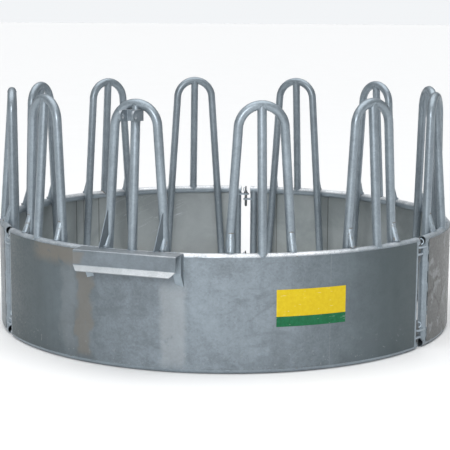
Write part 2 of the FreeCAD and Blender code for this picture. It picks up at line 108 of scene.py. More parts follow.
class Graph:
    """A material's node tree, with short calls for the nodes that this script uses."""

    def __init__(self, name):
        self.material = bpy.data.materials.new(name)
        self.material.use_nodes = True
        self.tree = self.material.node_tree
        self.tree.nodes.clear()
        self.output = self.tree.nodes.new("ShaderNodeOutputMaterial")

    def node(self, kind, inputs=None, **settings):
        made = self.tree.nodes.new("ShaderNode" + kind)
        for name, value in settings.items():
            setattr(made, name, value)
        for name, value in (inputs or {}).items():
            self.feed(made.inputs[name], value)
        return made

    def feed(self, socket, value):
        """Links a socket to another node's output, or sets its value."""
        if isinstance(value, bpy.types.NodeSocket):
            self.tree.links.new(value, socket)
        else:
            socket.default_value = value

    def math(self, operation, *values):
        """A Math node on numbers or sockets; add and times take any count of them."""
        made = self.node("Math", operation=operation)
        for socket, value in zip(made.inputs, values):
            self.feed(socket, value)
        return made.outputs[0]

    def add(self, *values):
        total = values[0]
        for value in values[1:]:
            total = self.math("ADD", total, value)
        return total

    def times(self, *values):
        total = values[0]
        for value in values[1:]:
            total = self.math("MULTIPLY", total, value)
        return total

    def noise(self, vector, scale, detail=3.0, roughness=0.5, distortion=0.0):
        made = self.node("TexNoise", {"Vector": vector, "Scale": scale, "Detail": detail,
                                      "Roughness": roughness, "Distortion": distortion})
        return made.outputs["Fac"]

    def band(self, value, low, high, to_low=0.0, to_high=1.0):
        """value from low to high becomes to_low to to_high, smoothly and no further."""
        made = self.node("MapRange", {"Value": value, "From Min": low, "From Max": high,
                                      "To Min": to_low, "To Max": to_high},
                         interpolation_type="SMOOTHSTEP")
        return made.outputs["Result"]

    def window(self, value, low, high, soft):
        """1 between low and high, falling to 0 over a soft edge on each side."""
        return self.times(self.band(value, low - soft, low + soft),
                          self.band(value, high - soft, high + soft, 1.0, 0.0))

    def mix(self, factor, first, second):
        """Two colours mixed. The Mix node's sockets share names, so numbers pick them."""
        made = self.node("Mix", data_type="RGBA")
        for number, value in ((0, factor), (6, first), (7, second)):
            self.feed(made.inputs[number], value)
        return made.outputs[2]

    def stretch(self, vector, scale):
        return self.node("Mapping", {"Vector": vector, "Scale": scale}).outputs["Vector"]

    def place(self):
        """The position on the piece, in metres."""
        return self.node("TexCoord").outputs["Object"]

    def height(self, place):
        return self.node("SeparateXYZ", {"Vector": place}).outputs["Z"]

    def normal(self):
        return self.node("NewGeometry").outputs["Normal"]

    def ring_place(self, place):
        """The angle round the ring in degrees, the distance from its axis, and the height."""
        split = self.node("SeparateXYZ", {"Vector": place})
        x, y, z = split.outputs
        angle = self.math("ARCTAN2", x, self.times(y, -1.0))
        radius = self.math("SQRT", self.add(self.times(x, x), self.times(y, y)))
        return self.times(angle, 180 / math.pi), radius, z

    def finish(self, shader):
        self.tree.links.new(shader.outputs[0], self.output.inputs["Surface"])
        return self.material


def tint(value, warm=0.0):
    """The zinc's cool grey at a brightness. warm turns it from blue-grey to brown."""
    red = value * (0.82 + 0.26 * warm)
    green = value * (0.97 + 0.03 * warm)
    blue = value * (1.09 - 0.23 * warm)
    return (red, green, blue, 1.0)


METALLIC = 0.5
BROWN = (0.185, 0.167, 0.138, 1.0)                # stains, and specks on the gussets
WELD_RUST = (0.17, 0.12, 0.075, 1.0)
CHALK_AND_HIGHLIGHT = (0.36, 0.385, 0.40, 1.0)                  # pale runs and spatter, and the painted highlights on the hook bar's lip and on the left sheet's inner face
BLOOM_HIGHLIGHT_DARK = (0.36, 0.38, 0.40, 1.0)             # white rust and painted highlight on faces that look up
BLOOM_HIGHLIGHT_LIGHT = (0.80, 0.82, 0.84, 1.0)
END_SHADE_ZINC = (0.050, 0.069, 0.073, 1.0)            # painted shade towards the front sheet's ends, where the light falls off round the curve
WALL_DARK = (0.29, 0.325, 0.33, 1.0)              # the skirt's inner face
WALL_LIGHT = (0.385, 0.42, 0.425, 1.0)
WALL_DUST = (0.20, 0.185, 0.15, 1.0)
SCRATCH = (0.66, 0.70, 0.74, 1.0)
MUD = (0.14, 0.137, 0.13, 1.0)                    # the dried film on the right skirt
MUD_CRACK = (0.04, 0.038, 0.034, 1.0)
YELLOW = ((0.56, 0.40, 0.002, 1.0), (0.61, 0.46, 0.006, 1.0))
GREEN = ((0.001, 0.095, 0.032, 1.0), (0.004, 0.13, 0.05, 1.0))


def chalk_and_top_highlight(g, place, colour, patch, grain, bloom_highlight):
    """Faces that look up turn pale, most of all in front and at the back of the ring: partly white
    rust, partly a painted highlight where the light from above falls on them.
    """
    up = g.node("SeparateXYZ", {"Vector": g.normal()}).outputs["Z"]
    angle = g.ring_place(place)[0]
    brightest_arcs = g.math("MAXIMUM", g.window(angle, -12, 32, 12.0),
                     g.band(g.math("ABSOLUTE", angle), 105, 135))
    arc_weight = g.band(g.add(patch, brightest_arcs), 0.3, 1.3, 0.25, 1.0)
    bloom_and_highlight_mask = g.times(g.band(up, 0.1, 0.6), arc_weight, bloom_highlight)
    bloom_highlight_colour = g.mix(g.band(g.add(grain, g.times(patch, 0.5)), 0.55, 0.95), BLOOM_HIGHLIGHT_DARK, BLOOM_HIGHLIGHT_LIGHT)
    return g.mix(bloom_and_highlight_mask, colour, bloom_highlight_colour)


def galvanised(name, dark, light, rough=(0.36, 0.52), streaks=0.3, spangle=0.12, stains=None,
               bloom_highlight=0.0, grit=0.3):
    """Hot-dip galvanised steel: mottled zinc with a fine spangle and faint runs.

    stains(graph, place, colour) may paint local marks over the colour; it returns the result.
    bloom is how far the faces that look up are lightened: partly white rust, partly a painted highlight
    where the light from above falls on them. grit is the share of fine grain in the surface's relief."""
    g = Graph(name)
    place = g.place()
    cloud = g.noise(place, 3.0, 6.0, 0.6, 0.8)
    patch = g.noise(place, 14.0, 5.0, 0.62, 0.4)
    runs = g.noise(g.stretch(place, (16.0, 16.0, 1.3)), 1.0, 5.0, 0.6, 0.5)
    grain = g.noise(place, 300.0, 2.0, 0.6)
    cells = g.node("TexVoronoi", {"Vector": place, "Scale": 120.0, "Randomness": 1.0})
    cell = g.node("SeparateColor", {"Color": cells.outputs["Color"]}).outputs[0]
    tone = g.add(g.times(cloud, 0.6), g.times(patch, 0.4),
                 g.times(g.add(runs, -0.5), streaks),
                 g.times(g.add(cell, -0.5), spangle),
                 g.times(g.add(grain, -0.5), 0.2))
    colour = g.mix(g.band(tone, 0.22, 0.8), dark, light)
    if stains:
        colour = stains(g, place, colour)
    if bloom_highlight:
        colour = chalk_and_top_highlight(g, place, colour, patch, grain, bloom_highlight)
    roughness = g.band(g.add(g.times(cloud, 0.5), g.times(cell, 0.5)), 0.2, 0.8, rough[0], rough[1])
    lumps = g.add(g.times(g.noise(place, 24.0, 1.0), 0.7), g.times(grain, grit))
    bump = g.node("Bump", {"Height": lumps, "Strength": 0.2, "Distance": 0.0012})
    shader = g.node("BsdfPrincipled", {"Base Color": colour, "Roughness": roughness,
                                       "Metallic": METALLIC, "Normal": bump.outputs["Normal"]})
    return g.finish(shader)


def blotch(g, place, mask, scale, low, high):
    """A mask broken up by noise, so that its edge is ragged."""
    ragged = g.noise(place, scale, 6.0, 0.65, 0.8)
    return g.times(mask, g.band(g.add(ragged, g.times(mask, 0.18)), low, high))


def scratches(g, place, angle, z, low_angle, high_angle, low_z, high_z):
    """Fine slanted bright scratches inside a window of angle and height."""
    slanted = g.stretch(g.node("VectorRotate", {"Vector": place, "Angle": 0.42},
                               rotation_type="Y_AXIS").outputs[0], (1.6, 1.6, 60.0))
    line = g.noise(slanted, 1.5, 2.0, 0.5)
    thin = g.times(g.band(line, 0.588, 0.6), g.band(line, 0.6, 0.612, 1.0, 0.0))
    return g.times(thin, g.window(angle, low_angle, high_angle, 2.0),
                   g.window(z, low_z, high_z, 0.03))


def sheet_inside(g, place, colour, radius, z):
    """The sheet's inner face, a neutral grey with dust low down, and the mask that finds it."""
    inner = g.band(radius, SKIRT_FACE - 0.0012, SKIRT_FACE - 0.0008, 1.0, 0.0)
    cloud = g.noise(place, 4.5, 5.0, 0.6, 0.5)
    wall = g.mix(g.band(cloud, 0.3, 0.7), WALL_DARK, WALL_LIGHT)
    dust = g.times(g.band(z, 0.05, 0.28, 1.0, 0.0), g.noise(place, 7.0, 5.0, 0.6))
    wall = g.mix(g.times(dust, 0.5), wall, WALL_DUST)
    return g.mix(inner, colour, wall), inner


LINE_HALF = 0.12                                  # half an upright line's width, in degrees
LINE_SOFT = 0.06
RIGHT_LINES = ((154.2, 0.7), (170.6, 0.55))       # angle round the ring, depth
RIGHT_LINE_COLOUR = (0.07, 0.07, 0.065, 1.0)
LEFT_LINES = ((-125.2, 0.8), (-127.9, 0.55), (-133.4, 0.8))
LEFT_LINE_COLOUR = (0.07, 0.065, 0.06, 1.0)


def wall_lines(g, colour, angle, inner, lines, line_colour):
    """Dark upright lines on a sheet's inner face."""
    for at_angle, depth in lines:
        line = g.times(g.window(angle, at_angle - LINE_HALF, at_angle + LINE_HALF, LINE_SOFT), inner)
        colour = g.mix(g.times(line, depth), colour, line_colour)
    return colour


def front_rust(g, place, angle, z, drip_edge):
    """A brown patch left of the hook bar, and a drip down the skirt below the bar's left end."""
    patch = g.times(g.window(angle, -43, -27.5, 3.0), g.window(z, 0.455, 0.54, 0.03))
    drip = g.times(g.window(drip_edge, -29.0, -24.4, 0.8), g.band(z, 0.02, 0.06),
                   g.band(z, 0.40, 0.50, 1.0, 0.0))
    return g.math("MAXIMUM", blotch(g, place, patch, 13.0, 0.44, 0.62),
                  g.times(blotch(g, place, drip, 22.0, 0.40, 0.56), 0.85))


def front_pale(g, place, colour, angle, z, drip_edge):
    """Pale marks: beside the drip, a run below the hook bar's right end, spatter and a seam."""
    halo = g.times(g.window(drip_edge, -33.5, -29.5, 1.0), g.window(z, 0.05, 0.45, 0.05))
    colour = g.mix(g.times(halo, 0.14), colour, CHALK_AND_HIGHLIGHT)
    run_edge = g.add(angle, g.times(g.noise(place, 9.0, 3.0), 2.0))
    run = g.times(g.window(run_edge, -6.8, -1.2, 0.9), g.window(z, 0.03, 0.40, 0.04))
    colour = g.mix(g.times(blotch(g, place, run, 16.0, 0.40, 0.60), 0.40), colour, CHALK_AND_HIGHLIGHT)
    spots = g.band(g.noise(place, 55.0, 2.0, 0.5), 0.66, 0.70)
    spatter = g.times(spots, g.band(z, 0.02, 0.2, 1.0, 0.0))
    colour = g.mix(g.times(spatter, 0.3), colour, CHALK_AND_HIGHLIGHT)
    seam = g.window(angle, 30.26, 30.34, 0.05)
    return g.mix(g.times(seam, 0.3), colour, CHALK_AND_HIGHLIGHT)


def front_stains(g, place, colour):
    """The front sheet is darker towards its two ends, a painted shade where the light falls off round
    the curve; it is also smudged, and marked brown and pale.
    """
    angle, radius, z = g.ring_place(place)
    drip_edge = g.add(angle, g.times(g.add(g.noise(place, 11.0, 3.0), -0.5), 6.0))
    rust = front_rust(g, place, angle, z, drip_edge)
    # Painted shade: the sheet darkens towards both ends, where the light falls off round the curve.
    end_shade = g.math("MAXIMUM", g.band(angle, -50, -8, 1.0, 0.0), g.band(angle, 14, 52))
    colour = g.mix(g.times(end_shade, 0.85), colour, END_SHADE_ZINC)
    smudge = g.noise(g.stretch(place, (5.0, 5.0, 11.0)), 1.0, 5.0, 0.62, 1.2)
    colour = g.mix(g.times(g.band(smudge, 0.50, 0.68), 0.3), colour, tint(0.11))
    colour = g.mix(g.times(rust, 0.68), colour, BROWN)
    colour = front_pale(g, place, colour, angle, z, drip_edge)
    return sheet_inside(g, place, colour, radius, z)[0]


def right_stains(g, place, colour):
    """A dried film with dark cracks and pale patches near the right sheet's front end."""
    angle, radius, z = g.ring_place(place)
    film = g.times(g.band(angle, 61, 63), g.band(angle, 84, 100, 1.0, 0.0))
    cracks = g.node("TexVoronoi", {"Vector": g.stretch(place, (9.0, 9.0, 6.0)), "Scale": 1.0},
                    feature="DISTANCE_TO_EDGE").outputs["Distance"]
    bent = g.add(cracks, g.times(g.add(g.noise(place, 22.0, 5.0, 0.65), -0.5), 0.35))
    lines = g.times(g.band(bent, 0.0, 0.09, 1.0, 0.0), g.band(g.noise(place, 6.0, 3.0), 0.42, 0.6))
    colour = g.mix(g.times(film, 0.55), colour, MUD)
    colour = g.mix(g.times(film, lines, 0.55), colour, MUD_CRACK)
    pale = g.times(film, g.band(g.noise(place, 12.0, 5.0, 0.6, 0.5), 0.52, 0.62))
    colour = g.mix(g.times(pale, 0.42), colour, CHALK_AND_HIGHLIGHT)
    colour, inner = sheet_inside(g, place, colour, radius, z)
    return wall_lines(g, colour, angle, inner, RIGHT_LINES, RIGHT_LINE_COLOUR)


def left_stains(g, place, colour):
    """The left sheet's inner face has upright lines, a pale patch of painted sheen and slanted
    scratches.
    """
    angle, radius, z = g.ring_place(place)
    colour, inner = sheet_inside(g, place, colour, radius, z)
    colour = wall_lines(g, colour, angle, inner, LEFT_LINES, LEFT_LINE_COLOUR)
    # Painted sheen: a pale patch on the inner face near the back.
    painted_sheen = g.times(inner, g.window(angle, -172, -150, 6.0))
    colour = g.mix(g.times(painted_sheen, 0.35), colour, CHALK_AND_HIGHLIGHT)
    marks = scratches(g, place, angle, z, -161, -138, 0.27, 0.5)
    return g.mix(g.times(marks, inner, 0.8), colour, SCRATCH)


def hook_stains(g, place, colour):
    """The skirt's brown stain carries on over the left end of the hook bar, and its lip, which faces
    up, gets a pale painted highlight.
    """
    gear = Place(GEAR_ANGLE)
    along = g.node("VectorMath", {0: place, 1: gear.along}, operation="DOT_PRODUCT").outputs["Value"]
    z = g.height(place)
    slanted = g.add(along, g.times(g.add(z, -0.48), -0.45))
    mask = g.times(g.band(slanted, -0.235, -0.205, 1.0, 0.0), g.band(z, 0.480, 0.486),
                   g.band(z, 0.532, 0.542, 1.0, 0.0))
    colour = g.mix(g.times(blotch(g, place, mask, 15.0, 0.34, 0.52), 0.55), colour, BROWN)
    # Painted highlight: the lip below z 0.479, which faces up to the light, is mixed towards the pale
    # colour.
    return g.mix(g.band(z, 0.475, 0.479, 0.7, 0.0), colour, CHALK_AND_HIGHLIGHT)


def gear_side_shade(g, place, colour):
    """Painted shade: the broad sides of the stubs and braces, which face along the ring, are darker
    than the edges that face outwards, as if turned from the light.
    """
    facing = g.node("VectorMath", {0: g.normal(), 1: Place(GEAR_ANGLE).along}, operation="DOT_PRODUCT")
    side = g.band(g.math("ABSOLUTE", facing.outputs["Value"]), 0.6, 0.85)
    # painted shade: faces that point along the ring are mixed towards a dark zinc
    return g.mix(side, colour, tint(0.21))


def gusset_marks(g, place, colour):
    """Brown specks where the zinc is thin on the gussets' ridges."""
    specks = g.band(g.noise(place, 60.0, 4.0, 0.6), 0.56, 0.66)
    return g.mix(g.times(specks, 0.6), colour, BROWN)


def weld_metal():
    """Weld beads under the zinc: lumpy, and brown in patches and at the gussets' crests."""
    g = Graph("weld_metal")
    place = g.place()
    patch = g.noise(place, 45.0, 4.0, 0.6)
    colour = g.mix(g.band(patch, 0.3, 0.7), tint(0.22), tint(0.40))
    crest = g.window(g.height(place), GUSSET_TOP - 0.006, GUSSET_TOP + 0.010, 0.003)
    rust = g.math("MAXIMUM", g.band(g.noise(place, 26.0, 4.0, 0.6), 0.56, 0.66), crest)
    colour = g.mix(g.times(rust, 0.75), colour, WELD_RUST)
    bump = g.node("Bump", {"Height": g.noise(place, 420.0, 2.0), "Strength": 0.5, "Distance": 0.0012})
    return g.finish(g.node("BsdfPrincipled", {"Base Color": colour, "Roughness": 0.46,
                                              "Metallic": METALLIC, "Normal": bump.outputs["Normal"]}))


LABEL_BAND = 0.275                                # the green band's share of the label's height
LABEL_WEAR = (0.7, 0.7, 0.66, 1.0)


def label_vinyl():
    """A blank sticker: yellow above, a green band below, a little scuffed."""
    g = Graph("label_vinyl")
    place = g.place()
    low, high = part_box("front_label")
    line = low.z + (high.z - low.z) * LABEL_BAND
    scuff = g.noise(place, 60.0, 5.0, 0.65)
    yellow = g.mix(g.band(scuff, 0.35, 0.75), *YELLOW)
    green = g.mix(g.band(scuff, 0.35, 0.75), *GREEN)
    colour = g.mix(g.band(g.height(place), line - 0.0004, line + 0.0004), green, yellow)
    scratch = g.noise(g.stretch(place, (30.0, 30.0, 220.0)), 1.0, 2.0)
    wear = g.times(g.band(scratch, 0.68, 0.72), 0.35)
    colour = g.mix(wear, colour, LABEL_WEAR)
    return g.finish(g.node("BsdfPrincipled", {"Base Color": colour, "Roughness": 0.42,
                                              "Specular IOR Level": 0.3}))



tube_steel = galvanised("galvanised_tube", tint(0.22), tint(0.355), rough=(0.30, 0.42), streaks=0.15,
                        grit=0.02)
gusset_steel = galvanised("galvanised_gusset", tint(0.29), tint(0.47), streaks=0.1, stains=gusset_marks)
# On the rails, plates, hook and lugs the faces that look up are lightened: partly white rust, partly a
# painted highlight from the light above.
rail_steel = galvanised("galvanised_rail", tint(0.26), tint(0.40), streaks=0.15, bloom_highlight=0.95)
plate_steel = galvanised("galvanised_plate", tint(0.18), tint(0.29), streaks=0.2, bloom_highlight=0.4)
hook_steel = galvanised("galvanised_hook", tint(0.165), tint(0.255), stains=hook_stains, bloom_highlight=0.35)
# The stubs and braces get a lighter zinc than the other plates, a painted highlight on faces that sit
# in the flange's shade; a painted shade then darkens their broad sides.
gear_lit_steel = galvanised("galvanised_gear_lit", tint(0.32), tint(0.43), streaks=0.2, stains=gear_side_shade)
front_sheet = galvanised("front_sheet", tint(0.165), tint(0.305), stains=front_stains, spangle=0.14)
right_sheet = galvanised("right_sheet", tint(0.085, 0.2), tint(0.16, 0.2), stains=right_stains)
left_sheet = galvanised("left_sheet", tint(0.17, 0.2), tint(0.26, 0.1), stains=left_stains)
# The lugs get a lighter zinc than the posts they stand on: a painted highlight for the light they
# catch.
lug_lit_steel = galvanised("galvanised_lug_lit", tint(0.32), tint(0.46), streaks=0.1, bloom_highlight=0.4)
pin_steel = galvanised("pin_steel", tint(0.08, 0.5), tint(0.20, 0.3), streaks=0.1)
wire_steel = galvanised("bright_wire", tint(0.6), tint(0.8), rough=(0.30, 0.36), streaks=0.0)
welds = weld_metal()

SLOT_MATERIALS = {"tube": tube_steel, "sheet": front_sheet, "plate": plate_steel,
                  "pin": pin_steel, "label": label_vinyl()}
NODE_MATERIALS = {"right_skirt_sheet": right_sheet, "left_skirt_sheet": left_sheet,
                  "drawbar_hook_bar": hook_steel, "hook_spacers": gear_lit_steel,
                  "hook_braces": gear_lit_steel}
for segment in SEGMENTS:
    NODE_MATERIALS[segment + "_top_rail"] = rail_steel
    NODE_MATERIALS[segment + "_leg_gussets"] = gusset_steel
    NODE_MATERIALS[segment + "_joint_lugs_low"] = lug_lit_steel
    NODE_MATERIALS[segment + "_joint_lugs_high"] = lug_lit_steel

for part in frame["record"]["subparts"]:
    name = part["node"]
    for material_slot in frame["nodes"][name].material_slots:
        material_slot.material = NODE_MATERIALS.get(name, SLOT_MATERIALS[part["material_slot"]])

# ---------------------------------------------------------------- weld beads

WELD_STEP = 0.004                                 # between a bead's rings of vertices
RING_SIDES = 6


def divided(points, step, closed):
    """The same path with points about a step apart."""
    if closed:
        points = points + [points[0]]
    path = []
    for start, end in zip(points, points[1:]):
        pieces = max(1, round((end - start).length / step))
        path.extend(start.lerp(end, i / pieces) for i in range(pieces))
    if not closed:
        path.append(points[-1])
    return path


class Beads:
    """Weld beads that ride on one body, gathered into one mesh."""

    def __init__(self, name, seed):
        self.name = name
        self.random = random.Random(seed)
        self.vertices = []
        self.faces = []

    def bead(self, points, radius, closed=False):
        """A lumpy bead along a path, thinner at its two ends if the path is open."""
        path = divided(points, WELD_STEP, closed)
        first = len(self.vertices)
        count = len(path)
        ripple = self.random.uniform(1.1, 1.6)
        for i, point in enumerate(path):
            after = path[(i + 1) % count] if closed else path[min(i + 1, count - 1)]
            before = path[i - 1] if closed else path[max(i - 1, 0)]
            way = (after - before).normalized()
            side = way.orthogonal().normalized()
            other = way.cross(side)
            end = 1.0 if closed else min(1.0, 0.45 + 0.4 * min(i, count - 1 - i))
            lump = radius * end * (1 + 0.10 * math.sin(i * ripple) + self.random.uniform(-0.08, 0.08))
            for k in range(RING_SIDES):
                turn = 2 * math.pi * k / RING_SIDES
                self.vertices.append(point + (side * math.cos(turn) + other * math.sin(turn)) * lump)
        last = count if closed else count - 1
        for i in range(last):
            here = first + i * RING_SIDES
            there = first + (i + 1) % count * RING_SIDES
            for k in range(RING_SIDES):
                following = (k + 1) % RING_SIDES
                self.faces.append((here + k, here + following, there + following, there + k))
        if not closed:
            self.faces.append(tuple(first + k for k in range(RING_SIDES)))
            self.faces.append(tuple(first + (count - 1) * RING_SIDES + k for k in range(RING_SIDES)))

    def finish(self, body):
        mesh = bpy.data.meshes.new(self.name)
        mesh.from_pydata(self.vertices, [], self.faces)
        mesh.validate()
        for face in mesh.polygons:
            face.use_smooth = True
        mesh.materials.append(welds)
        made = bpy.data.objects.new(self.name, mesh)
        bpy.context.scene.collection.objects.link(made)
        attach(made, body)


def bar_welds(beads, place):
    """Where a centre bar meets the top rail and the bend of its loop.

    The outer half of the foot's bead stays above the skirt's top edge."""
    foot = place.point(0, RING, RAIL_Z)
    head = place.point(0, LOOP_PLANE, BEND_Z + BEND_RADIUS)
    axis = (head - foot).normalized()
    outward = place.along.cross(axis)
    if outward.dot(place.out) < 0:
        outward = -outward
    lowest = SKIRT_HIGH.z - RAIL_Z + 0.003
    for start, way, floor in ((foot, axis, lowest), (head, -axis, 0.0)):
        ring = []
        for turn in steps(0, 350, 36):
            across = math.cos(math.radians(turn))
            outer = math.sin(math.radians(turn))
            rise = TUBE * abs(across)
            if outer > 0:
                rise = max(rise, floor)
            ring.append(start + place.along * TUBE * across + outward * TUBE * outer + way * rise)
        beads.bead(ring, radius=0.0032, closed=True)


LEG_WELD_RADIUS = 0.013                           # of the ring of weld round a contact


def leg_welds(beads, place, side):
    """Where a leg touches the two rails."""
    for z in (RAIL_Z, TUBE):
        middle = place.point(side * leg_spread(z), LOOP_PLANE, z)
        out = Vector((middle.x, middle.y, 0)).normalized()
        across = Vector((0, 0, 1)).cross(out)
        contact = middle + out * (TUBE - 0.001)
        ring = [contact + across * LEG_WELD_RADIUS * math.cos(turn)
                + Vector((0, 0, LEG_WELD_RADIUS)) * math.sin(turn)
                for turn in steps(0, 5.8, 14)]
        beads.bead(ring, radius=0.003, closed=True)


def gusset_welds(beads, place, side, height):
    """Round a gusset's crest, down its two sides, and round its foot on the rail."""
    top_z = RAIL_TOP + height
    top_out = LOOP_PLANE + TUBE + GUSSET_CREST_OUT - GUSSET_RADIUS
    top = place.point(side * leg_spread(top_z), top_out, top_z)
    foot_out = LOOP_PLANE + TUBE + GUSSET_FOOT_OUT - GUSSET_RADIUS
    foot = place.point(side * leg_spread(RAIL_TOP), foot_out, RAIL_TOP)
    axis = (foot - top).normalized()
    outward = place.along.cross(axis)
    if outward.dot(place.out) < 0:
        outward = -outward

    def rim(start, turn, radius):
        turn = math.radians(turn)
        return start + (place.along * math.sin(turn) + outward * math.cos(turn)) * radius

    crest = [rim(top, turn, GUSSET_RADIUS - 0.001) for turn in steps(-85, 85, 14)]
    beads.bead(crest, radius=0.0026)
    for turn in (-88, 88):
        beads.bead([rim(start, turn, GUSSET_RADIUS) for start in (top, foot)], radius=0.002)
    toe = [rim(foot, turn, GUSSET_RADIUS + 0.0005) for turn in steps(-100, 100, 14)]
    beads.bead([point + Vector((0, 0, 0.0006)) for point in toe], radius=0.003)


EDGE_STITCHES = 15                                # along the sheet's top, and along its foot
EDGE_STITCH_INSET = 2.5                           # degrees from the sheet's end to the last one
EDGE_STITCH_RADIUS = SKIRT_FACE - 0.0034          # so that no bead passes the sheet's face
END_STITCH_RADIUS = SKIRT_FACE - 0.0026
END_STITCH_TURN = 0.06                            # degrees past the sheet's end
END_STITCH_HEIGHTS = (0.045, 0.155, 0.265, 0.375, 0.465)


def sheet_welds(beads, middle):
    """Stitches along the sheet's two edges and down its ends."""
    farthest = SHEET_END - EDGE_STITCH_INSET
    for stitch_angle in steps(-farthest, farthest, EDGE_STITCHES):
        centre = middle + stitch_angle + beads.random.uniform(-0.6, 0.6)
        span = beads.random.uniform(0.8, 1.3)
        for z, radius in ((SKIRT_HIGH.z + 0.0004, 0.0021), (SKIRT_LOW.z - 0.0016, 0.0019)):
            line = [on_ring(EDGE_STITCH_RADIUS, centre + turn, z) for turn in steps(-span, span, 8)]
            beads.bead(line, radius)
    for side in (-1, 1):
        angle = middle + side * (SHEET_END + END_STITCH_TURN)
        for low_z in END_STITCH_HEIGHTS:
            length = beads.random.uniform(0.035, 0.055)
            z = low_z + beads.random.uniform(-0.01, 0.01)
            line = [on_ring(END_STITCH_RADIUS, angle, level) for level in (z, z + length)]
            beads.bead(line, radius=0.0019)


LUG_HEIGHTS = {-1: (0.497, 0.089), 1: (0.466, 0.058)}     # by the segment's low and high end
LUG_WELD_OFFSET = 0.004                           # above and below a lug's middle


def post_welds(beads, middle):
    """Where an end post meets the rails, and the lugs' roots on the post."""
    reach = TUBE + 0.0005
    for side in (-1, 1):
        place = Place(middle + side * POST_ANGLE)
        for z, up in ((RAIL_Z, -1), (TUBE, 1)):
            ring = []
            for turn in steps(180, 360, 20):
                across = math.cos(math.radians(turn)) * reach
                outer = math.sin(math.radians(turn)) * reach
                ring.append(place.point(across, RING + outer, z + up * abs(across)))
            beads.bead(ring, radius=0.0028)
        for lug_z in LUG_HEIGHTS[side]:
            for level in (-LUG_WELD_OFFSET, LUG_WELD_OFFSET):
                arc = [place.point(side * -TUBE * math.cos(turn), RING + TUBE * math.sin(turn),
                                   lug_z + level) for turn in steps(-0.95, 0.95, 12)]
                beads.bead(arc, radius=0.0022)


# The gear's welds, in the frame of the loop that carries it: along the ring, outwards, up.
FLANGE_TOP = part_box("drawbar_hook_bar")[1].z
FLANGE_WELD_REACH = 1.1695                        # from the ring's axis, at its inner edge
FLANGE_WELD_STARTS = (-0.225, 0.185)              # where the first and the last begin
FLANGE_WELDS = 5
FLANGE_WELD_LENGTH = 0.045
STUB_RIGHT_FACES = (-0.187, 0.250)
STUB_WIDTH = 0.038
STUB_SIDE_WELD = (0.425, 0.535)                   # its two heights
STUB_LEVEL_WELD_Z = 0.416
BRACE_SKEW = math.radians(20)                     # turned from straight outwards
BRACE_SHIFT = 0.008                               # from its leg's axis
BRACE_MIDDLE_Z = 0.6325                           # the height at which that axis is taken
BRACE_WELD_REACH = (0.050, 0.074)                 # from the loop's plane, along the brace
BRACE_WELD_OFFSET = 0.0035                        # to each side of the brace's middle
EAR_WELD_ALONG = 0.02604                          # at the ears' inner faces
EAR_WELD_OUT = LOOP_PLANE + 0.022
EAR_WELD_HEIGHTS = (1.128, 1.150, 1.171)
WEB_WELD_ALONG = 0.0255
WEB_WELD_OUT = 1.1395
WEB_WELD_HEIGHTS = (1.126, 1.148, 1.170)


def out_to(radius, along):
    """How far outwards a round face of the ring is, at a distance along from the gear's middle."""
    return math.sqrt(radius ** 2 - along ** 2)


def flange_welds(beads, gear):
    """Short welds along the inner edge of the hook bar's flange, over the rail."""
    for start in steps(*FLANGE_WELD_STARTS, FLANGE_WELDS):
        line = [gear.point(along, out_to(FLANGE_WELD_REACH, along), FLANGE_TOP - 0.001)
                for along in steps(start, start + FLANGE_WELD_LENGTH, 6)]
        beads.bead(line, radius=0.0028)


def stub_welds(beads, gear):
    """On the skirt's face, up both sides of each stub and level across it near its foot."""
    for right in STUB_RIGHT_FACES:
        left = right - STUB_WIDTH
        for along in (left, right):
            out = out_to(SKIRT_FACE, along)
            beads.bead([gear.point(along, out, z) for z in STUB_SIDE_WELD], radius=0.0024)
        level = [gear.point(along, out_to(SKIRT_FACE, along), STUB_LEVEL_WELD_Z)
                 for along in steps(left, right, 5)]
        beads.bead(level, radius=0.0026)


def brace_welds(beads, gear):
    """Both sides of each brace, where it stands on the hook bar's flange."""
    for side in (-1, 1):
        stand = side * leg_spread(BRACE_MIDDLE_Z) + BRACE_SHIFT
        for offset in (-BRACE_WELD_OFFSET, BRACE_WELD_OFFSET):
            line = []
            for reach in steps(*BRACE_WELD_REACH, 5):
                along = stand - reach * math.sin(BRACE_SKEW) + offset * math.cos(BRACE_SKEW)
                out = LOOP_PLANE + reach * math.cos(BRACE_SKEW) + offset * math.sin(BRACE_SKEW)
                line.append(gear.point(along, out, FLANGE_TOP + 0.001))
            beads.bead(line, radius=0.0024)


def bracket_welds(beads, gear):
    """The top-link bracket: its ears on the loop, and its web between the ears."""
    for along_size, out, heights in ((EAR_WELD_ALONG, EAR_WELD_OUT, EAR_WELD_HEIGHTS),
                                     (WEB_WELD_ALONG, WEB_WELD_OUT, WEB_WELD_HEIGHTS)):
        for side in (-1, 1):
            beads.bead([gear.point(side * along_size, out, z) for z in heights], radius=0.0026)


for seed, (segment, middle) in enumerate(SEGMENTS.items(), start=40):
    beads = Beads(segment + "_welds", seed)
    for offset in LOOP_OFFSETS:
        loop_place = Place(middle + offset)
        bar_welds(beads, loop_place)
        height = GUSSET_SHORT_HEIGHT if middle + offset == GEAR_ANGLE else GUSSET_HEIGHT
        for side in (-1, 1):
            leg_welds(beads, loop_place, side)
            gusset_welds(beads, loop_place, side, height)
    sheet_welds(beads, middle)
    post_welds(beads, middle)
    if segment == "front":
        for gear_welds in (flange_welds, stub_welds, brace_welds, bracket_welds):
            gear_welds(beads, Place(GEAR_ANGLE))
    beads.finish(segment + "_segment")

# ---------------------------------------------------------------- pin rings

PIN_RING_RADIUS = 0.0135
PIN_RING_WIRE = 0.0020                            # the wire's radius
PIN_RING_DROP = math.radians(56)                  # the ring hangs this far below level
PIN_RING_TURN = 40                                # degrees from facing straight out
PIN_EYE_DEPTH = 0.012                             # from the pin's top to where the ring hangs


